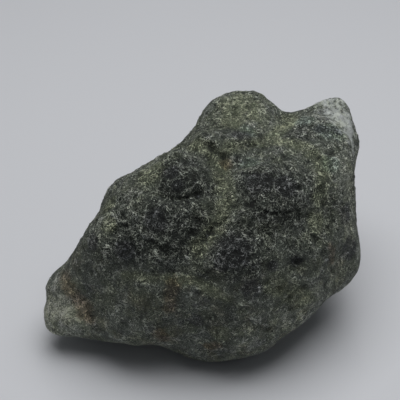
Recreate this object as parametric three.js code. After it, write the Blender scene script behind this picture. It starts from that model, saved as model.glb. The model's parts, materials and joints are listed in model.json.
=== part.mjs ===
// A lump of raw seraphinite: one solid piece of green chlorite rock, knobbly on
// top, blunt below, resting on a small flat spot. Millimetres, +Z up. The origin
// is on the resting plane, under the middle of the stone's bounding box.

import * as THREE from "three";
import { ImprovedNoise } from "three/addons/math/ImprovedNoise.js";
import { mergeVertices } from "three/addons/utils/BufferGeometryUtils.js";

// Overall proportions of the ball that the surface is drawn from.
const halfLength = 41;
const halfDepth = 31;
const halfHeight = 27;
const heartHeight = 26; // middle of the stone above the resting plane
const ballDetail = 20; // extra cuts along each edge of the icosahedron
const eveningPasses = 40;

// How softly the faces and the knobs run into each other.
const faceRounding = 2.4;
const bossBlend = 4;

// Broad worn faces of the stone: which way each one looks, and how far it lies
// from the heart.
const faces = {
  leftFlank: { toward: [-0.85, 0.32, 0.42], reach: 24.7 },
  leftShoulder: { toward: [-0.52, 0.52, 0.67], reach: 21.5 },
  crest: { toward: [0.1, 0.61, 0.78], reach: 33.5 },
  rightSide: { toward: [1, 0.06, 0.06], reach: 40.4 },
  lowerRight: { toward: [0.66, -0.46, -0.59], reach: 36 },
  foot: { toward: [0.1, -0.62, -0.79], reach: 37.5 },
  lowerLeft: { toward: [-0.1, -0.61, -0.78], reach: 32 },
  chin: { toward: [-0.74, -0.41, -0.53], reach: 46 },
  brow: { toward: [-0.05, -0.7, 0.71], reach: 27.5 },
  belly: { toward: [0, -0.99, -0.12], reach: 30.5 },
  top: { toward: [0.05, -0.05, 1], reach: 25.5 },
  leftFront: { toward: [-0.55, -0.8, 0.22], reach: 32 },
  rightFront: { toward: [0.62, -0.7, 0.35], reach: 33.5 },
  back: { toward: [0, 1, 0.1], reach: 31 },
  backLeft: { toward: [-0.65, 0.75, -0.1], reach: 27 },
  backRight: { toward: [0.6, 0.8, -0.1], reach: 39.5 },
  underLeft: { toward: [-0.2, -0.02, -0.98], reach: 27.2 },
  underRight: { toward: [0.5, 0, -0.87], reach: 29.8 },
  underBack: { toward: [0, 0.5, -0.87], reach: 28.4 },
};

// Big knobs that shape the outline: centre and radius.
const bosses = {
  crown: { at: [9.5, 21, 41.6], radius: 11.2 },
  crownRoot: { at: [5, 18.5, 30], radius: 13.5 },
  crownShoulder: { at: [15.2, 21, 43.3], radius: 7.2 },
  rightShoulder: { at: [31, 18.6, 37.4], radius: 11.3 },
  horn: { at: [35.2, 25, 44.4], radius: 4.3 },
  toe: { at: [-35, -15.9, 10.6], radius: 5.6 },
  toeTop: { at: [-34.8, -12.2, 15.4], radius: 4.2 },
  toeRoot: { at: [-25, -12, 13.5], radius: 10 },
  footBump: { at: [4, -14, 14], radius: 16.4 },
  leftCorner: { at: [-17.6, 6, 28], radius: 8 },
  rightCorner: { at: [33, -6, 20.5], radius: 7.7 },
};

// Rounded nodules that stand a little proud of the faces: direction from the
// heart, width across and rise.
const nodules = {
  upperLeft: { toward: [-5, -8, 24], across: 17, rise: 2.2 },
  middleLeft: { toward: [-9, -21, 19], across: 22, rise: 2.2 },
  middleRight: { toward: [17, -14, 23], across: 19, rise: 2.4 },
  lowerMiddle: { toward: [9, -27, 12], across: 16, rise: 2 },
  crownFront: { toward: [10, 2, 25], across: 14, rise: 1.1 },
  rightCheek: { toward: [30, -18, 8], across: 16, rise: 1.5 },
  leftCheek: { toward: [-21, -18, 9], across: 15, rise: 1.2 },
  bellyLeft: { toward: [-16, -27, -8], across: 20, rise: 1.2 },
  bellyRight: { toward: [10, -28, -10], across: 22, rise: 1.3 },
  backLow: { toward: [6, 30, -6], across: 26, rise: 1.8 },
  backHigh: { toward: [-14, 24, 4], across: 22, rise: 1.5 },
  crownBack: { toward: [14, 27, 9], across: 15, rise: 1 },
  backRight: { toward: [26, 28, -4], across: 22, rise: 1.4 },
  backLeft: { toward: [-26, 12, -6], across: 19, rise: 1.3 },
  rightEnd: { toward: [36, 14, -3], across: 18, rise: 1.2 },
  underEnd: { toward: [22, 4, -20], across: 18, rise: 1.4 },
};

// Worn-in valleys and cracks: points along each one as directions from the
// heart, with its half width and depth.
const valleys = {
  toeNotch: {
    path: [[-38, -12, -12], [-39.6, -16.4, -10.1], [-35.7, -19, -8.7], [-28.9, -23.2, -6.7]],
    halfWidth: 1.8,
    depth: 1,
  },
  crownNotch: {
    path: [[-5, 4, 27], [1, -1, 26], [5, -6, 25]],
    halfWidth: 3.5,
    depth: 2.4,
  },
  middleFork: {
    path: [[5, -6, 25], [4, -13, 23], [1, -20, 19], [-2, -25, 15]],
    halfWidth: 3,
    depth: 1.7,
  },
  crownSaddle: {
    path: [[5, -6, 25], [14, 1, 26], [20, 12, 25], [22, 20, 22]],
    halfWidth: 3.5,
    depth: 1.8,
  },
  upperCrack: {
    path: [[-12, -15, 23], [-8, -17.3, 22.6], [-4, -16.7, 22.4], [3, -13.6, 22.7]],
    halfWidth: 1.5,
    depth: 1.7,
  },
  browLine: {
    path: [[-22, -25, 8], [-15, -27, 8], [-6, -30, 9.5], [4, -31, 8.5], [15, -29, 6]],
    halfWidth: 2,
    depth: 0.8,
  },
  lowLedge: {
    path: [[15, -31, -10], [21, -29, -6], [26, -25, -6], [33, -14, -10]],
    halfWidth: 1.7,
    depth: 0.9,
  },
  hornNotch: {
    path: [[27, 25, 20], [30, 20, 23.5], [33.5, 15, 23]],
    halfWidth: 2,
    depth: 0.7,
  },
  backSeam: {
    path: [[-18, 20, 12], [-4, 27, 8], [8, 30, 4], [20, 27, 10]],
    halfWidth: 3,
    depth: 1.2,
  },
};

// Small pits where softer grains have weathered out: direction from the heart,
// width across and depth.
const pits = {
  darkPit: { toward: [23.1, -24.6, 7.9], across: 4.6, depth: 1.4 },
  bellyPit: { toward: [11.1, -30.3, 5.1], across: 5, depth: 0.9 },
  cornerPit: { toward: [35.1, -14.8, 3.5], across: 6, depth: 1 },
  edgePit: { toward: [38.5, 8, 12], across: 5, depth: 1.1 },
  flankPit: { toward: [-25, 3, 8], across: 6, depth: 0.9 },
  backPit: { toward: [14, 29, 1], across: 7, depth: 1.3 },
  lowBackPit: { toward: [-14, 24, -10], across: 6, depth: 1.1 },
};

// Uneven weathering: wavelength and depth of each scale.
const weathering = [
  { wavelength: 13, depth: 1.1 },
  { wavelength: 6, depth: 0.6 },
  { wavelength: 3.7, depth: 0.35 },
];

// How far the nodules' rims stray from true circles.
const rimRaggedness = 0.45;
const rimWavelength = 9;

// How finely the broad form is searched for along a ray from the heart, and its
// slope measured.
const searchLength = 70;
const searchHalvings = 20;
const slopeStep = 0.5;
const weldDistance = 1e-3;

const heart = new THREE.Vector3(0, 0, heartHeight);
const noise = new ImprovedNoise();

for (const face of Object.values(faces)) {
  face.normal = new THREE.Vector3(...face.toward).normalize();
}
for (const boss of Object.values(bosses)) {
  boss.centre = new THREE.Vector3(...boss.at).sub(heart);
}
for (const spot of [...Object.values(nodules), ...Object.values(pits)]) {
  spot.direction = new THREE.Vector3(...spot.toward).normalize();
}
for (const valley of Object.values(valleys)) {
  const bends = valley.path.map((p) => new THREE.Vector3(...p).normalize());
  valley.stretches = bends.slice(1).map((bend, i) => new THREE.Line3(bends[i], bend));
}

// Distance outside the worn faces, with their edges rounded.
function facesDistance(point) {
  let sum = 0;
  for (const face of Object.values(faces)) {
    const outside = point.dot(face.normal) - face.reach;
    sum += Math.exp(outside / faceRounding);
  }
  return faceRounding * Math.log(sum);
}

// Smooth union of two distances.
function blendUnion(a, b, width) {
  const overlap = Math.max(width - Math.abs(a - b), 0);
  return Math.min(a, b) - (overlap * overlap) / (4 * width);
}

// Distance outside the stone's broad form, for a point measured from the heart.
function formDistance(point) {
  let distance = facesDistance(point);
  for (const boss of Object.values(bosses)) {
    const outside = point.distanceTo(boss.centre) - boss.radius;
    distance = blendUnion(distance, outside, bossBlend);
  }
  return distance;
}

// The direction straight out of the broad form at a point on it.
function outwardAt(point) {
  const slopes = ["x", "y", "z"].map((axis) => {
    const ahead = point.clone();
    const behind = point.clone();
    ahead[axis] += slopeStep;
    behind[axis] -= slopeStep;
    return formDistance(ahead) - formDistance(behind);
  });
  return new THREE.Vector3(...slopes).normalize();
}

// The point where the ray from the heart leaves the broad form.
function formPoint(direction) {
  const point = new THREE.Vector3();
  let inside = 0;
  let outside = searchLength;
  for (let i = 0; i < searchHalvings; i += 1) {
    const middle = (inside + outside) / 2;
    point.copy(direction).multiplyScalar(middle);
    if (formDistance(point) < 0) inside = middle;
    else outside = middle;
  }
  return point;
}

// Noise from about -1 to 1 that repeats its ups and downs at a wavelength.
function unevenness(point, wavelength) {
  const p = point.clone().divideScalar(wavelength);
  return noise.noise(p.x, p.y, p.z);
}

// From 1 at the middle of a round spot to 0 at its rim, measured across the surface.
function domeShare(point, spot, ragged) {
  const direction = point.clone().normalize();
  const away = spot.direction.distanceTo(direction) * point.length() * (1 + ragged);
  return 1 - Math.min((2 * away) / spot.across, 1) ** 2;
}

// From 1 along the middle of a valley to 0 away from it, measured the same way.
function valleyShare(point, valley) {
  const direction = point.clone().normalize();
  const nearest = new THREE.Vector3();
  let away = Infinity;
  for (const stretch of valley.stretches) {
    stretch.closestPointToPoint(direction, true, nearest);
    away = Math.min(away, nearest.normalize().distanceTo(direction) * point.length());
  }
  return Math.exp(-((away / valley.halfWidth) ** 2));
}

// How far the finished surface stands out of the broad form at a point. Where
// nodules, valleys or pits meet, the highest or deepest one shows.
function reliefAt(point) {
  const ragged = rimRaggedness * unevenness(point, rimWavelength);
  const rises = Object.values(nodules).map((n) => n.rise * domeShare(point, n, ragged));
  const falls = Object.values(valleys).map((v) => v.depth * valleyShare(point, v));
  const dents = Object.values(pits).map((p) => p.depth * domeShare(point, p, 0));
  let relief = Math.max(...rises) - Math.max(...falls) - Math.max(...dents);
  for (const { wavelength, depth } of weathering) {
    relief += depth * unevenness(point, wavelength);
  }
  return relief;
}

// Which points share an edge with each point of a merged geometry.
function neighboursOf(geometry) {
  const index = geometry.index.array;
  const count = geometry.getAttribute("position").count;
  const neighbours = Array.from({ length: count }, () => new Set());
  for (let i = 0; i < index.length; i += 3) {
    for (let corner = 0; corner < 3; corner += 1) {
      const here = index[i + corner];
      neighbours[here].add(index[i + ((corner + 1) % 3)]);
      neighbours[here].add(index[i + ((corner + 2) % 3)]);
    }
  }
  return neighbours;
}

// The middle of a set of points.
function middleOf(points) {
  const middle = new THREE.Vector3();
  for (const point of points) middle.add(point);
  return middle.divideScalar(points.length);
}

// A ball squashed to the stone's proportions, its points pushed out to the broad
// form. Each pass moves a point to the middle of its neighbours and out to the
// form again, which evens the triangles. The relief is added last.
function stoneGeometry() {
  const ball = new THREE.IcosahedronGeometry(1, ballDetail);
  ball.deleteAttribute("normal");
  ball.deleteAttribute("uv");
  ball.scale(halfLength, halfDepth, halfHeight);
  const geometry = mergeVertices(ball, weldDistance);
  const position = geometry.getAttribute("position");
  const neighbours = neighboursOf(geometry);
  let points = neighbours.map((_, i) =>
    formPoint(new THREE.Vector3().fromBufferAttribute(position, i).normalize()),
  );
  for (let pass = 0; pass < eveningPasses; pass += 1) {
    const before = points;
    points = neighbours.map((near) => {
      const around = [...near].map((i) => before[i]);
      return formPoint(middleOf(around).normalize());
    });
  }
  points.forEach((point, i) => {
    const surface = point.clone().addScaledVector(outwardAt(point), reliefAt(point));
    position.setXYZ(i, surface.x, surface.y, Math.max(surface.z + heartHeight, 0));
  });
  return geometry;
}

// The stone stands over the origin by the middle of its box.
function centred(geometry) {
  geometry.computeBoundingBox();
  const middle = geometry.boundingBox.getCenter(new THREE.Vector3());
  geometry.translate(-middle.x, -middle.y, 0);
  geometry.computeVertexNormals();
  return geometry;
}

const seraphinite = new THREE.MeshStandardMaterial({
  color: 0x4b5148,
  roughness: 0.75,
  metalness: 0,
});

const stone = new THREE.Mesh(centred(stoneGeometry()), seraphinite);
stone.name = "stone";

const part = new THREE.Group();
part.name = "raw_seraphinite";
part.add(stone);

export default part;
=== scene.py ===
import json
import math

import bpy
import numpy as np
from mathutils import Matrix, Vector
from mathutils.noise import noise_vector, seed_set

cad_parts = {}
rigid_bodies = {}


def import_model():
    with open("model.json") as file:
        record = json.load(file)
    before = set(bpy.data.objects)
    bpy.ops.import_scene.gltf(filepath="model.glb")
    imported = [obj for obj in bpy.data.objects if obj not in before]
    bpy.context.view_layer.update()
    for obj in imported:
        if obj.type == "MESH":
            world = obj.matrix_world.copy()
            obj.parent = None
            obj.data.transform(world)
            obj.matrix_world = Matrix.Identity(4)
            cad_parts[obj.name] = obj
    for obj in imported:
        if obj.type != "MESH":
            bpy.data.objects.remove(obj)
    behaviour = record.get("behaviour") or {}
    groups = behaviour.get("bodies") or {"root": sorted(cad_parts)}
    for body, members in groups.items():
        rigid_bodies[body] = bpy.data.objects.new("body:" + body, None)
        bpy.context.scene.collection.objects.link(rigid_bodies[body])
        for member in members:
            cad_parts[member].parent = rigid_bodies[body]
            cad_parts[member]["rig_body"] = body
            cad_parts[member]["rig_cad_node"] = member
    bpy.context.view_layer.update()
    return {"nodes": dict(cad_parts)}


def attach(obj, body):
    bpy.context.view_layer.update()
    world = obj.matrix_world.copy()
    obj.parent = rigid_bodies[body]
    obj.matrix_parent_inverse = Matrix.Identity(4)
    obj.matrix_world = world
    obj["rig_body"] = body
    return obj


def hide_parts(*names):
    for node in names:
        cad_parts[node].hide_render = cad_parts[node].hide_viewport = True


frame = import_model()
mm = 0.001

# Places on the stone, in millimetres in the part's frame. A spot is a centre and a
# radius. A run is a line, its half width and, where it is not 1, its strength.
places = {
    # rounded nodules, where the relief and the curls are strongest
    "nodules": [
        ((-4.4, -13.4, 52.1), 8.0),
        ((-8.7, -23.9, 44.7), 9.5),
        ((-17.0, -22.0, 40.0), 6.0),
        ((16.2, -16.3, 50.5), 9.5),
        ((8.6, -27.5, 41.1), 7.5),
        ((24.4, 7.7, 50.5), 5.0),
        ((-6.0, 26.0, 34.0), 8.0),
        ((16.0, 30.0, 24.0), 8.0),
        ((-24.0, 12.0, 20.0), 7.0),
        ((38.0, 12.0, 22.0), 6.0),
    ],
    # blue-black patches
    "dark": [
        ((9.5, 5, 51.5), 3.2),
        ((-11.5, -21.5, 45.5), 3.4),
        ((-6.5, -15, 50.5), 2.0),
        ((-8.5, -11, 52), 2.6),
        ((-19, -24, 38), 3.0),
        ((-27, -20, 37.5), 2.5),
        ((7, -27.5, 41), 5.0),
        ((4, -29.5, 38.5), 2.5),
        ((13, -14.5, 51.5), 4.0),
        ((19, -15, 50.5), 3.5),
        ((36, -13.5, 30), 3.5),
        ((35, -10, 38), 3.0),
        ((11, -30, 31.5), 3.0),
        ((-2, -30.5, 21.5), 2.2),
        ((22, -23, 34), 1.8),
        ((16, -27, 36), 1.8),
        ((30, 9.5, 50), 2.5),
        ((33.5, 9.5, 49.5), 2.2),
        ((-10, 26, 30), 4.0),
        ((20, 29, 20), 4.0),
        ((-30, 8, 22), 4.0),
        ((39, 8, 20), 3.5),
        ((4, 10, 3), 5.0),
    ],
    # blue-green patches near the horn
    "teal": [
        ((32, 8.5, 50), 4.5),
        ((25.5, 14, 50), 3.0),
        ((11, 8, 50.5), 2.5),
        ((11, -5, 49.5), 3.0),
        ((31, -4, 49), 3.0),
        ((26, 28, 30), 5.0),
    ],
    # olive patches
    "olive": [
        ((9, 17, 52.5), 7.0),
        ((7, 12, 51), 4.0),
        ((-13, -9, 50), 4.5),
        ((-23.5, -13, 43.5), 3.4),
        ((-23, -19, 42), 2.2),
        ((27.5, -17, 41), 3.5),
        ((4, -32, 18.5), 3.0),
        ((-12, 20, 40), 5.0),
        ((6, 31, 30), 5.0),
        ((-34, 2, 16), 5.0),
        ((20, 4, 3), 5.0),
    ],
    # olive valleys between the nodules
    "seams": [
        ([(-2.5, 4, 49), (3, -0.5, 49.5), (4, -8, 48.5), (5.5, -16, 48.5), (4, -20, 45),
          (-1, -24.5, 39.5)], 3.4),
        ([(3, -0.5, 49.5), (7.5, 1, 51), (16.5, 6, 49), (22, 14.5, 48.5), (22, 20, 47)], 3.0),
        ([(16.5, 6, 49), (24.5, 1, 50.5), (28.5, -3, 50), (28, -13, 44.5)], 3.0),
        ([(-19, -25.5, 31.5), (-2.5, -29, 33), (5.5, -31.5, 29.5)], 2.0),
        ([(16.5, -28.5, 31.5), (20.5, -27.5, 27), (24, -26.5, 24.5)], 4.2),
        ([(-18, 20, 38), (-4, 27, 34), (8, 30, 30), (20, 27, 36)], 3.0),
    ],
    # whitish worn horn
    "pale": [
        ([(32, 25, 47), (35, 22, 48.5)], 4.2, 0.9),
        ([(36, 18, 49), (38.5, 12.5, 46), (40.5, 9, 41)], 5.8, 1.15),
    ],
    # rusty streaks and spots
    "rust": [
        ([(-35, -17, 23), (-31, -21, 19), (-29.5, -23.5, 17)], 4.0),
        ([(-7.6, -29, 32), (-8.4, -30.3, 25.5)], 2.6),
        ([(-11, -30.5, 17.5), (-10, -29, 13.5)], 2.4),
        ([(1, -31, 13), (3, -31.5, 14)], 2.2),
        ([(4.8, -3.2, 49), (5.6, -4.5, 48.8)], 1.8),
        ([(30.7, -18.5, 34.5), (31.3, -18.7, 31)], 1.8),
    ],
    # lighter toe, lower right flank and right edge
    "toe": [
        ([(-39, -16, 10), (-34, -18.5, 16)], 7.5),
        ([(14, -31, 20), (24, -27, 21), (32, -18, 26)], 7.0, 0.45),
        ([(35, -3, 47), (36.3, -6, 39), (36.2, -10.7, 34), (35, -14.2, 28)], 5.0, 0.5),
    ],
    # low swellings and dips of the whole surface: centre, radius and height
    "swells": [
        ((35.8, 25.5, 48.6), 1.8, 0.6),
        ((32.2, 24.5, 48.7), 1.6, 0.5),
        ((38.8, 20, 46.5), 3.0, 0.6),
        ((40.9, 15, 41.5), 4.0, -1.1),
        ((40.3, 13, 35.5), 4.5, -0.7),
        ((38.5, -1, 38), 5.0, -0.6),
        ((-6.4, 7, 47.2), 3.0, -1.7),
        ((-6.2, 17.5, 40.8), 3.5, -2.3),
        ((11, 23.5, 51.8), 5.0, 0.35),
    ],
    # narrow open cracks and a few short gouges: line, half width and depth
    "cracks": [
        ([(-12, -15.5, 49), (-7.7, -17.3, 48.6), (-4.2, -16.7, 48.4), (2.9, -13.6, 48.7)], 0.45, 0.6),
        ([(0.5, -21.5, 43.6), (-1.3, -23.3, 42), (-3, -25.3, 40.7)], 0.55, 1.0),
        ([(4, 15.5, 50.1), (8, 14.3, 51.2)], 0.6, 0.8),
        ([(-21.5, -24.9, 34.2), (-14.7, -27.4, 34.1), (-6.4, -30.2, 35.7)], 0.6, 0.6),
        ([(-1, 4.5, 50.5), (1, 2.3, 50.5), (4.3, -1.6, 49.7)], 0.75, 0.9),
        ([(5.8, 0.4, 51), (9, 0.7, 51), (12, 2.3, 50.5)], 0.5, 0.6),
        ([(9.4, -19.5, 48.4), (13.4, -20.7, 47.3), (17.7, -20.4, 46.4), (22.6, -17.8, 45.8)], 0.5, 0.5),
        ([(5, -20.5, 45.3), (2, -21, 43.3), (-0.2, -23.3, 40.8)], 0.5, 0.8),
        ([(-13.4, -24.4, 41.7), (-9.4, -26.3, 39.6), (-5.4, -25.4, 39.5)], 0.5, 0.45),
        ([(-9.2, -8.5, 52), (-8, -11.5, 52)], 1.0, 0.7),
        ([(9.2, -10.2, 51.1), (8.8, -14.8, 50.7), (9.2, -17.3, 49.6)], 0.6, 0.6),
        ([(33.6, 26, 48.6), (34.2, 22.6, 48.8), (35.9, 19.6, 48), (37.4, 18.8, 47)], 0.5, 0.7),
        ([(40.1, 12.4, 39.6), (40.3, 11.6, 39)], 1.2, 0.9),
        ([(22, -23.2, 33.8), (22.4, -23.2, 34)], 1.0, 0.8),
        ([(15.8, -27.2, 36.4), (16, -27.2, 36.2)], 0.9, 0.8),
    ],
}

# Lengths in mm. A twist is the scale of a smooth noise and how far it pushes.
lump = {
    "node": "stone",
    "weld": 0.001,
    "cuts": 3,  # each edge of the solid becomes four, about 0.5 mm long
    "softening": {"factor": 0.5, "iterations": 9},
    "weightSteps": 50,
    "spotFall": (1.6, 1.2),  # a spot is full inside 0.5 of its radius, gone at 1.33
    "swellStub": 0.01,  # a swelling is measured from a line this short
    "belly": {"top": 38.5, "fade": 7},
    "under": {"top": 24, "fade": 14},
    "crown": {"lean": 0.5, "start": 8, "fade": 12},  # painted top light, growing with the distance to the back, leaning right
    # share of the relief and of the rosettes between the nodules, and what the belly loses
    "plainShare": {"relief": 0.65, "rosettes": 0.35},
    "bellyLoss": {"knobbly": 0.7, "everywhere": 0.5},
    "twistSeed": 3,
    "crackTwists": ((0.35, 0.8), (1.1, 0.45)),
    # how far a point stands out is measured from a smoothed copy of the surface
    "heights": {"smoothings": 12, "blend": 0.5, "range": 1.2},
    # small rosettes: a hollow core in a raised ring; bias above 1 makes more small ones,
    # and the spacing, the core and the ring are in radii of the rosette
    "rosettes": {
        "seed": 7,
        "tries": 6000,
        "radius": (0.6, 2.4),
        "bias": 1.5,
        "spacing": 1.15,
        "farthest": 2.0,
        "core": (1.2, 1.6),
        "ring": (0.95, 0.3),
        "pit": 0.5,
        "rim": 0.32,
        "twists": ((0.3, 1.6), (0.9, 0.7)),
    },
    # name, texture, size, height, where it is strongest, texture settings
    "relief": [
        ("lumps", "CLOUDS", 3.4, 0.7, "everywhere", {"noise_depth": 2}),
        ("rosettes", "MUSGRAVE", 3.0, 0.3, "knobbly",
         {"musgrave_type": "RIDGED_MULTIFRACTAL", "octaves": 3, "noise_intensity": 0.7}),
        ("swirls", "DISTORTED_NOISE", 1.7, 0.25, "knobbly", {"distortion": 1.6}),
        ("crumbs", "CLOUDS", 0.9, 0.18, "everywhere", {"noise_depth": 3}),
    ],
}


def selectOnly(piece):
    bpy.ops.object.select_all(action="DESELECT")
    piece.select_set(True)
    bpy.context.view_layer.objects.active = piece


def applyModifier(piece, kind, name, **settings):
    modifier = piece.modifiers.new(name, kind)
    for key, value in settings.items():
        setattr(modifier, key, value)
    bpy.ops.object.modifier_apply(modifier=name)


def copyOfNode(node, name):
    selectOnly(frame["nodes"][node])
    bpy.ops.object.duplicate()
    piece = bpy.context.active_object
    bpy.ops.object.parent_clear(type="CLEAR_KEEP_TRANSFORM")
    piece.name = name
    piece.data.name = name
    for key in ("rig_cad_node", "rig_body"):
        del piece[key]
    bpy.ops.object.mode_set(mode="EDIT")
    bpy.ops.mesh.select_all(action="SELECT")
    bpy.ops.mesh.remove_doubles(threshold=lump["weld"] * mm)
    bpy.ops.object.mode_set(mode="OBJECT")
    piece.data.materials.clear()
    return piece


def pointsOf(piece):
    points = np.zeros(len(piece.data.vertices) * 3, np.float32)
    piece.data.vertices.foreach_get("co", points)
    return points.reshape(-1, 3) / mm


def closenessToLine(points, line, halfWidth, share=1.0):
    away = np.full(len(points), np.inf)
    for start, end in zip(line[:-1], line[1:]):
        start = np.array(start, float)
        step = np.array(end, float) - start
        along = np.clip((points - start) @ step / (step @ step), 0, 1)
        away = np.minimum(away, np.linalg.norm(points - start - along[:, None] * step, axis=1))
    return share * np.exp(-((away / halfWidth) ** 2))


def closenessToSpot(points, centre, radius):
    away = np.linalg.norm(points - np.array(centre), axis=1) / radius
    top, fall = lump["spotFall"]
    return np.clip(top - fall * away, 0, 1)


def closest(points, measure, entries):
    return np.max([measure(points, *entry) for entry in entries], axis=0)


def below(points, top, fade):
    return np.clip((top - points[:, 2]) / fade, 0, 1)


def atNodules(elsewhere, knobbly):
    # a share that is full on the nodules
    return elsewhere + (1 - elsewhere) * knobbly


def weightGroup(piece, name, weights):
    group = piece.vertex_groups.new(name=name)
    count = lump["weightSteps"]
    steps = np.round(np.clip(weights, 0, 1) * count).astype(int)
    for step in range(1, count + 1):
        chosen = np.nonzero(steps == step)[0]
        if len(chosen):
            group.add(chosen.tolist(), step / count, "REPLACE")


def raiseWhere(piece, name, weights, height):
    weightGroup(piece, name, weights)
    displace(piece, name, height, group=name)


def displace(piece, name, strength, kind=None, size=1.0, group="", **settings):
    texture = None
    if kind:
        texture = bpy.data.textures.new(name, kind)
        texture.noise_scale = size * mm
        for key, value in settings.items():
            setattr(texture, key, value)
    applyModifier(
        piece, "DISPLACE", name,
        strength=strength * mm,
        mid_level=0.5 if kind else 0.0,
        texture=texture,
        texture_coords="LOCAL",
        vertex_group=group,
    )


def attribute(piece, name, values):
    layer = piece.data.attributes.new(name, "FLOAT", "POINT")
    layer.data.foreach_set("value", np.clip(values, 0, 1).astype(np.float32))


def makeLump():
    piece = copyOfNode(lump["node"], "seraphinite_lump")
    bpy.ops.object.mode_set(mode="EDIT")
    bpy.ops.mesh.select_all(action="SELECT")
    bpy.ops.mesh.subdivide(number_cuts=lump["cuts"])
    bpy.ops.object.mode_set(mode="OBJECT")
    applyModifier(piece, "SMOOTH", "softFacets", **lump["softening"])
    print("lump refined to", len(piece.data.polygons), "faces")

    points = pointsOf(piece)
    knobbly = closest(points, closenessToSpot, places["nodules"])
    belly = below(points, **lump["belly"])
    share, loss, rosettes = lump["plainShare"], lump["bellyLoss"], lump["rosettes"]
    crisp = 1 - loss["knobbly"] * belly
    away, pits, rims = scatterRosettes(points, atNodules(share["rosettes"], knobbly) * crisp)
    weightGroup(piece, "knobbly", atNodules(share["relief"], knobbly) * crisp)
    weightGroup(piece, "everywhere", 1 - loss["everywhere"] * belly)
    for number, (centre, radius, height) in enumerate(places["swells"]):
        stub = [centre, np.array(centre) + lump["swellStub"]]
        raiseWhere(piece, f"swell{number}", closenessToLine(points, stub, radius), height)
    for name, kind, size, height, where, settings in lump["relief"]:
        displace(piece, name, height, kind, size, where, **settings)
    raiseWhere(piece, "pits", pits, -rosettes["pit"])
    raiseWhere(piece, "rims", rims, rosettes["rim"])
    print("lumps, rosettes and crumbs raised")

    crackShade = np.zeros(len(points))
    wandering = twisted(points, lump["crackTwists"])
    for number, (line, halfWidth, depth) in enumerate(places["cracks"]):
        closeness = closenessToLine(wandering, line, halfWidth)
        raiseWhere(piece, f"crack{number}", closeness, -depth)
        crackShade = np.maximum(crackShade, closeness)
    print(len(places["cracks"]), "cracks and gouges cut")

    piece.vertex_groups.clear()
    flattenFoot(piece)
    attribute(piece, "nodule", knobbly)
    # painted shade in the cracks and gouges
    attribute(piece, "crack", crackShade)
    attribute(piece, "rosette", away / rosettes["farthest"])
    for name in ("dark", "teal", "olive"):
        attribute(piece, name, closest(points, closenessToSpot, places[name]))
    for name in ("seams", "pale", "rust", "toe"):
        attribute(piece, name, closest(points, closenessToLine, places[name]))
    attribute(piece, "belly", belly)
    attribute(piece, "under", below(points, **lump["under"]))
    # painted top light: the tone rises towards the back and top of the stone
    crown = lump["crown"]
    towardsTopLight = points[:, 1] + crown["lean"] * points[:, 0] - crown["start"]
    attribute(piece, "crown", towardsTopLight / crown["fade"])
    # painted shade in hollows and painted highlight on raised points, from how far each point stands out
    attribute(piece, "height", 0.5 + heights(piece) / lump["heights"]["range"])
    bpy.ops.object.shade_smooth()
    print("coloured places laid on the lump")
    return piece


def twisted(points, twists):
    # the points pushed about by smooth noise, so that what is measured from them wanders
    seed_set(lump["twistSeed"])
    for scale, reach in twists:
        pushes = [noise_vector(Vector(point) * scale) for point in points.tolist()]
        points = points + reach * np.array(pushes)
    return points


def scatterRosettes(points, share):
    # distance to the nearest rosette in its own radii, and how deep and how high each point lies
    rosettes = lump["rosettes"]
    smallest, largest = rosettes["radius"]
    coreTop, coreFall = rosettes["core"]
    ringAt, ringWidth = rosettes["ring"]
    chance = np.random.default_rng(rosettes["seed"])
    points = twisted(points, rosettes["twists"])
    away = np.full(len(points), rosettes["farthest"])
    pits, rims = np.zeros(len(points)), np.zeros(len(points))
    for pick in chance.integers(0, len(points), rosettes["tries"]):
        radius = smallest + (largest - smallest) * chance.random() ** rosettes["bias"]
        depth = radius / largest * chance.random()
        if chance.random() > share[pick] or away[pick] < rosettes["spacing"]:
            continue
        near = np.linalg.norm(points - points[pick], axis=1) / radius
        away = np.minimum(away, near)
        pits = np.maximum(pits, depth * np.clip(coreTop - coreFall * near, 0, 1))
        rims = np.maximum(rims, depth * np.exp(-(((near - ringAt) / ringWidth) ** 2)))
    return away, pits, rims


def flattenFoot(piece):
    # nothing reaches below the resting plane
    points = pointsOf(piece)
    points[:, 2] = np.maximum(points[:, 2], 0)
    piece.data.vertices.foreach_set("co", (points * mm).ravel())
    piece.data.update()


def heights(piece):
    # how far each point stands above its smoothed surroundings, in mm
    edges = np.zeros(len(piece.data.edges) * 2, np.int32)
    piece.data.edges.foreach_get("vertices", edges)
    first, second = edges.reshape(-1, 2).T
    points = pointsOf(piece).astype(float)
    normals = np.zeros(len(points) * 3, np.float32)
    piece.data.vertices.foreach_get("normal", normals)
    counts = np.bincount(first, minlength=len(points)) + np.bincount(second, minlength=len(points))
    smooth = points.copy()
    blend = lump["heights"]["blend"]
    for turn in range(lump["heights"]["smoothings"]):
        for axis in range(3):
            total = np.bincount(first, smooth[second, axis], len(points))
            total += np.bincount(second, smooth[first, axis], len(points))
            smooth[:, axis] = (1 - blend) * smooth[:, axis] + blend * total / counts
    return np.sum((points - smooth) * normals.reshape(-1, 3), axis=1)


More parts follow.
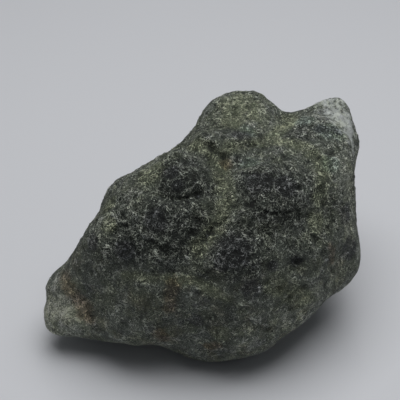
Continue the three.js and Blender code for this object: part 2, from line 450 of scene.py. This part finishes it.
# Colours as they are seen in plain light. The scale of a pattern is per millimetre.
finish = {
    # the rock from its deepest gaps to its brightest curls
    "tones": [
        (0.0, (0.010, 0.012, 0.010)),
        (0.25, (0.045, 0.053, 0.044)),
        (0.5, (0.148, 0.168, 0.137)),
        (0.75, (0.34, 0.37, 0.31)),
        (1.0, (0.78, 0.82, 0.72)),
    ],
    # these two are mixed in
    "bellyGrey": (0.125, 0.138, 0.12),
    "pale": (0.6, 0.635, 0.68),
    # these multiply the colour below them
    "violet": (0.86, 0.83, 0.97),
    "teal": (0.91, 1.0, 1.0),
    "olive": (1.0, 1.01, 0.82),
    "rust": (1.1, 0.9, 0.78),
    "earthy": (1.08, 1.0, 0.9),
    # spaces pushed about by noise: its scale, and how far it pushes in mm
    "warps": {
        "still": (),
        "swirled": ((0.3, 3.0), (0.9, 1.3)),
        "drifting": ((0.4, 2.0),),
    },
    # space, scale, detail and, where they are not the usual ones, roughness and distortion
    "patterns": {
        "wavy": ("swirled", 0.55, 3),
        "ripple": ("swirled", 1.15, 2),
        "jitter": ("swirled", 1.3, 2),
        "hairs": ("swirled", 0.5, 1, 0.5, 1.5),
        "scores": ("swirled", 0.8, 2),
        "grain": ("still", 3.8, 3, 0.75),
        "flow": ("swirled", 0.28, 5, 0.6),
        "mottle": ("swirled", 0.6, 4, 0.6),
        "cloud": ("still", 0.13, 3, 0.6),
        "bluish": ("drifting", 0.3, 3, 0.6),
        "yellowish": ("drifting", 0.19, 4, 0.65),
        "earthy": ("drifting", 0.16, 4, 0.6),
    },
    "cells": 0.42,  # scale of the round cells that curls run around
    "rippleOnCells": 0.6,
    "jitter": 0.9,  # raggedness of the rosettes' rings
    # level lines of a pattern: how often it turns, and how thin they are
    "lines": {
        "around": (2.2, 0.09),
        "wide": (3.2, 0.08),
        "fine": (2.0, 0.085),
        "ring": (1.0, 0.1),
        "scores": (3.0, 0.09),
        "hairs": (4.0, 0.075),
    },
    # where a curl and its gap start to fade and where they end, in thinnesses
    "curlEdge": (0.25, 0.8),
    "gapEdge": (1.0, 2.4),
    # what breaks the lines up: scale of a noise, where they start and where they are full
    "breaks": {
        "around": (0.3, 0.44, 0.54),
        "wide": (0.36, 0.44, 0.54),
        "fine": (0.5, 0.46, 0.56),
        "ring": (0.4, 0.42, 0.52),
        "scores": (0.45, 0.42, 0.54),
    },
    "breakNoise": (2, 0.6),  # detail and roughness
    "core": (0.15, 0.65),  # a rosette's dark core, in its radii
    "ringShift": 0.1,
    # ragged edge of a place: scale, where it starts and is full, and raggedness
    "edges": {
        "nodule": (0.4, 0.75, 1.5, 1.2),
        "dark": (0.5, 0.85, 1.5, 1.2),
        "teal": (0.5, 0.85, 1.5, 1.2),
        "olive": (0.35, 0.8, 1.4, 1.2),
        "seams": (0.35, 0.85, 1.5, 1.2),
        "pale": (0.7, 1.75, 2.6, 3.0),
        "rust": (0.5, 0.95, 1.6, 1.2),
        "toe": (0.4, 0.6, 1.7, 1.2),
    },
    "edgeNoise": (5, 0.65),  # detail and roughness
    # what each thing adds to the tone; a pair is the amount and what the belly adds to it
    "baseTone": 0.3,
    "amounts": {
        "grain": 1.4,
        "mottle": (0.14, 0.22),
        "flow": (0.25, 0.5),
        "cloud": 0.32,
        # painted shade in hollows and painted highlight on raised points
        "height": 0.2,
        "curls": 0.72,
        "hairs": 0.42,
        "gaps": -0.25,
        "scores": -0.28,
        "core": -0.16,
        "nodule": -0.185,
        "dark": -0.13,
        # painted shade in the cracks and gouges
        "crack": -0.25,
        "calm": 0.05,
        "rust": -0.07,
        # painted top light on the upper back of the stone
        "crown": 0.08,
        "under": 0.09,
    },
    # strength of the curls: in general with the belly's share, and what a nodule adds
    "curlStrength": (1.05, -0.25),
    "noduleStrength": 0.2,
    # speckles of the lighter ends: how much the grain counts, and where they start
    "toeSpeckle": (0.9, -0.52),
    "paleSpeckle": (1.1, -0.36),
    "paleMottle": 0.8,  # how much the mottle counts on the horn
    # limits of the wide drifting tints
    "drifts": {
        "bluish": (0.5, 0.62),
        "yellowish": (0.42, 0.62),
        "earthy": (0.5, 0.64),
    },
    # how much of each tint shows; a pair is the share and what the belly adds to it
    "shares": {
        "bellyGrey": 0.2,
        "bluish": 0.4,
        "yellowish": 0.6,
        "earthy": (0.15, 0.6),
        "toe": 0.4,
        "pale": 0.45,
    },
    "roughness": (0.88, 0.5),  # of the darkest and of the brightest tone
    "specular": 0.35,
    "bump": 0.35,  # height of the fine relief in mm
    "curlBump": 0.5,  # how much the curls count in it
}


def chlorite():
    material = bpy.data.materials.new("mottled_chlorite")
    material.use_nodes = True
    tree = material.node_tree
    shader = tree.nodes["Principled BSDF"]

    def node(kind, inputs=(), **settings):
        made = tree.nodes.new(kind)
        for key, value in settings.items():
            setattr(made, key, value)
        for socket, value in dict(inputs).items():
            if isinstance(value, bpy.types.NodeSocket):
                tree.links.new(value, made.inputs[socket])
            else:
                made.inputs[socket].default_value = value
        return made

    def calc(operation, *values, clamp=False):
        inputs = dict(enumerate(values))
        return node("ShaderNodeMath", inputs, operation=operation, use_clamp=clamp).outputs[0]

    def vector(operation, inputs):
        return node("ShaderNodeVectorMath", inputs, operation=operation).outputs[0]

    def between(value, low, high, newLow=0.0, newHigh=1.0, smooth=True):
        inputs = {"Value": value, "From Min": low, "From Max": high, "To Min": newLow, "To Max": newHigh}
        kind = "SMOOTHSTEP" if smooth else "LINEAR"
        return node("ShaderNodeMapRange", inputs, interpolation_type=kind).outputs[0]

    def noise(where, scale, detail=2, roughness=0.5, distortion=0.0):
        inputs = {
            "Vector": where,
            "Scale": scale,
            "Detail": detail,
            "Roughness": roughness,
            "Distortion": distortion,
        }
        return node("ShaderNodeTexNoise", inputs)

    def place(name):
        return node("ShaderNodeAttribute", attribute_name=name).outputs["Fac"]

    def tint(share, colour, name, blend="MULTIPLY"):
        inputs = {0: share, 6: colour, 7: (*finish[name], 1)}
        return node("ShaderNodeMix", inputs, data_type="RGBA", blend_type=blend).outputs[2]

    spot = node("ShaderNodeTexCoord").outputs["Object"]
    inMm = node("ShaderNodeMapping", {"Vector": spot, "Scale": (1 / mm, 1 / mm, 1 / mm)}).outputs[0]
    middle = (0.5, 0.5, 0.5)

    def warped(where, scale, reach):
        shift = vector("SUBTRACT", {0: noise(where, scale).outputs["Color"], 1: middle})
        return vector("ADD", {0: where, 1: vector("SCALE", {0: shift, 3: reach})})

    spaces = {}
    for name, warps in finish["warps"].items():
        spaces[name] = inMm
        for scale, reach in warps:
            spaces[name] = warped(spaces[name], scale, reach)

    patterns = {}
    for name, (space, *settings) in finish["patterns"].items():
        patterns[name] = noise(spaces[space], *settings).outputs["Fac"]

    def lines(name, value):
        # thin bright curls along the level lines of a pattern, and the dark gap beside them
        turns, thin = finish["lines"][name]
        wave = calc("PINGPONG", calc("MULTIPLY", value, turns), 0.5)
        edges = (finish["curlEdge"], finish["gapEdge"])
        return [between(wave, thin * low, thin * high, 1, 0) for low, high in edges]

    def brokenLines(name, value):
        scale, low, high = finish["breaks"][name]
        share = between(noise(inMm, scale, *finish["breakNoise"]).outputs["Fac"], low, high)
        return [calc("MULTIPLY", part, share) for part in lines(name, value)]

    def middled(value):
        return calc("SUBTRACT", value, 0.5)

    def most(*values):
        best = values[0]
        for value in values[1:]:
            best = calc("MAXIMUM", best, value)
        return best

    voronoi = node("ShaderNodeTexVoronoi", {"Vector": spaces["swirled"], "Scale": finish["cells"]})
    fromCell = voronoi.outputs["Distance"]
    cells = calc("MULTIPLY_ADD", patterns["ripple"], finish["rippleOnCells"], fromCell)
    rosette = calc("MULTIPLY", place("rosette"), lump["rosettes"]["farthest"])
    away = calc("MULTIPLY_ADD", middled(patterns["jitter"]), finish["jitter"], rosette)
    core = between(away, *finish["core"], 1, 0)
    drawn = [
        brokenLines("wide", patterns["wavy"]),
        brokenLines("fine", patterns["ripple"]),
        brokenLines("around", cells),
        brokenLines("ring", calc("ADD", away, finish["ringShift"])),
    ]
    curls = most(*[curl for curl, gap in drawn])
    gaps = most(*[gap for curl, gap in drawn])
    hairs = lines("hairs", patterns["hairs"])[0]
    scores = brokenLines("scores", patterns["scores"])[0]

    def edged(name):
        # a place with a ragged edge
        scale, low, high, raggedness = finish["edges"][name]
        ragged = noise(inMm, scale, *finish["edgeNoise"]).outputs["Fac"]
        return between(calc("MULTIPLY_ADD", ragged, raggedness, place(name)), low, high)

    nodule, dark, teal, olive, seams, pale, rust, toe = [edged(name) for name in finish["edges"]]
    calm = most(olive, seams)
    belly = place("belly")

    def overBelly(plain, more):
        return calc("MULTIPLY_ADD", belly, more, plain)

    grain, mottle = patterns["grain"], patterns["mottle"]
    onNodule = calc("MULTIPLY_ADD", nodule, finish["noduleStrength"], 1.0)
    strength = calc("MULTIPLY", overBelly(*finish["curlStrength"]), onNodule)
    toeTone = calc("MULTIPLY_ADD", calc("ADD", grain, mottle), *finish["toeSpeckle"])
    amounts = finish["amounts"]
    layers = [
        (middled(grain), amounts["grain"]),
        (middled(mottle), overBelly(*amounts["mottle"])),
        (middled(patterns["flow"]), overBelly(*amounts["flow"])),
        (middled(patterns["cloud"]), amounts["cloud"]),
        # painted shade in hollows and painted highlight on raised points
        (middled(place("height")), amounts["height"]),
        (calc("MULTIPLY", curls, strength), amounts["curls"]),
        (calc("MULTIPLY", hairs, strength), amounts["hairs"]),
        (calc("MULTIPLY", gaps, strength), amounts["gaps"]),
        (scores, amounts["scores"]),
        (calc("MULTIPLY", core, strength), amounts["core"]),
        (nodule, amounts["nodule"]),
        (dark, amounts["dark"]),
        # painted shade in the cracks and gouges
        (place("crack"), amounts["crack"]),
        (calm, amounts["calm"]),
        (rust, amounts["rust"]),
        (toe, toeTone),
        # painted top light
        (place("crown"), amounts["crown"]),
        (place("under"), amounts["under"]),
    ]
    tone = finish["baseTone"]
    for value, amount in layers:
        tone = calc("MULTIPLY_ADD", value, amount, tone)
    flecks = calc("ADD", grain, calc("MULTIPLY", mottle, finish["paleMottle"]))
    paleTone = calc("MULTIPLY_ADD", flecks, *finish["paleSpeckle"])
    tone = calc("MULTIPLY_ADD", pale, paleTone, tone, clamp=True)

    ramp = node("ShaderNodeValToRGB", {"Fac": tone})
    stops = ramp.color_ramp.elements
    while len(stops) < len(finish["tones"]):
        stops.new(0.5)
    for stop, (position, colour) in zip(stops, finish["tones"]):
        stop.position = position
        stop.color = (*colour, 1)

    def drift(name):
        return between(patterns[name], *finish["drifts"][name])

    shares = finish["shares"]
    bluish = most(dark, calc("MULTIPLY", drift("bluish"), shares["bluish"]))
    offNodules = calc("MULTIPLY_ADD", nodule, -shares["yellowish"], shares["yellowish"])
    yellowish = most(calm, calc("MULTIPLY", drift("yellowish"), offNodules))
    earthy = calc("MULTIPLY", drift("earthy"), overBelly(*shares["earthy"]))
    earthy = most(earthy, calc("MULTIPLY", toe, shares["toe"]))
    colour = tint(calc("MULTIPLY", belly, shares["bellyGrey"]), ramp.outputs[0], "bellyGrey", "MIX")
    colour = tint(bluish, colour, "violet")
    colour = tint(yellowish, colour, "olive")
    colour = tint(earthy, colour, "earthy")
    colour = tint(teal, colour, "teal")
    colour = tint(rust, colour, "rust")
    colour = tint(calc("MULTIPLY", pale, shares["pale"]), colour, "pale", "MIX")
    tree.links.new(colour, shader.inputs["Base Color"])

    rough = between(tone, 0, 1, *finish["roughness"], smooth=False)
    tree.links.new(rough, shader.inputs["Roughness"])
    relief = calc("MULTIPLY_ADD", most(curls, hairs), finish["curlBump"], grain)
    bump = node("ShaderNodeBump", {"Height": relief, "Distance": finish["bump"] * mm, "Strength": 1.0})
    tree.links.new(bump.outputs[0], shader.inputs["Normal"])
    shader.inputs["Specular IOR Level"].default_value = finish["specular"]
    print("chlorite material made of", len(tree.nodes), "nodes")
    return material


studioFloor = {
    "size": 6,
    "colour": (0.665, 0.676, 0.706),
    "roughness": 0.9,
    "specular": 0.1,
}


def makeFloor():
    bpy.ops.object.select_all(action="DESELECT")
    bpy.ops.mesh.primitive_plane_add(size=studioFloor["size"], location=(0, 0, 0))
    floor = bpy.context.active_object
    floor.name = "floor"
    material = bpy.data.materials.new("pale_floor")
    material.use_nodes = True
    shader = material.node_tree.nodes["Principled BSDF"]
    shader.inputs["Base Color"].default_value = (*studioFloor["colour"], 1)
    shader.inputs["Roughness"].default_value = studioFloor["roughness"]
    shader.inputs["Specular IOR Level"].default_value = studioFloor["specular"]
    floor.data.materials.append(material)


# lens and sensor in mm, aim and distance in mm, elevation in degrees, clip in metres
camera = {
    "lens": 100,
    "sensor": 36,
    "aim": (-1.18, 4.18, 31.36),
    "distance": 290.4,
    "elevation": 38,
    "clip": (0.01, 20),
}


def makeCamera():
    elevation = math.radians(camera["elevation"])
    back = Vector((0, -math.cos(elevation), math.sin(elevation)))
    position = (Vector(camera["aim"]) + back * camera["distance"]) * mm
    bpy.ops.object.camera_add(location=position, rotation=(math.pi / 2 - elevation, 0, 0))
    view = bpy.context.active_object
    view.data.lens = camera["lens"]
    view.data.sensor_width = camera["sensor"]
    view.data.clip_start, view.data.clip_end = camera["clip"]
    bpy.context.scene.camera = view


# metres and watts; the softbox hangs above the stone and faces its target
light = {
    "softbox": {"at": (0.03, 0.03, 0.55), "target": (0, 0, 0.02), "size": 0.5, "power": 2.65},
    "room": {"colour": (0.93, 0.96, 1.0), "strength": 0.095},
}


def makeLight():
    softbox = light["softbox"]
    direction = Vector(softbox["target"]) - Vector(softbox["at"])
    bpy.ops.object.light_add(
        type="AREA", location=softbox["at"], rotation=direction.to_track_quat("-Z", "Y").to_euler()
    )
    lamp = bpy.context.active_object
    lamp.data.size = softbox["size"]
    lamp.data.energy = softbox["power"]
    world = bpy.data.worlds.new("studio")
    bpy.context.scene.world = world
    world.use_nodes = True
    background = world.node_tree.nodes["Background"]
    background.inputs["Color"].default_value = (*light["room"]["colour"], 1)
    background.inputs["Strength"].default_value = light["room"]["strength"]
    bpy.context.scene.view_settings.view_transform = "Standard"


lumpPiece = makeLump()
lumpPiece.data.materials.append(chlorite())
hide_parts(lump["node"])
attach(lumpPiece, "root")
makeFloor()
makeCamera()
makeLight()
print("floor, camera and light in place")
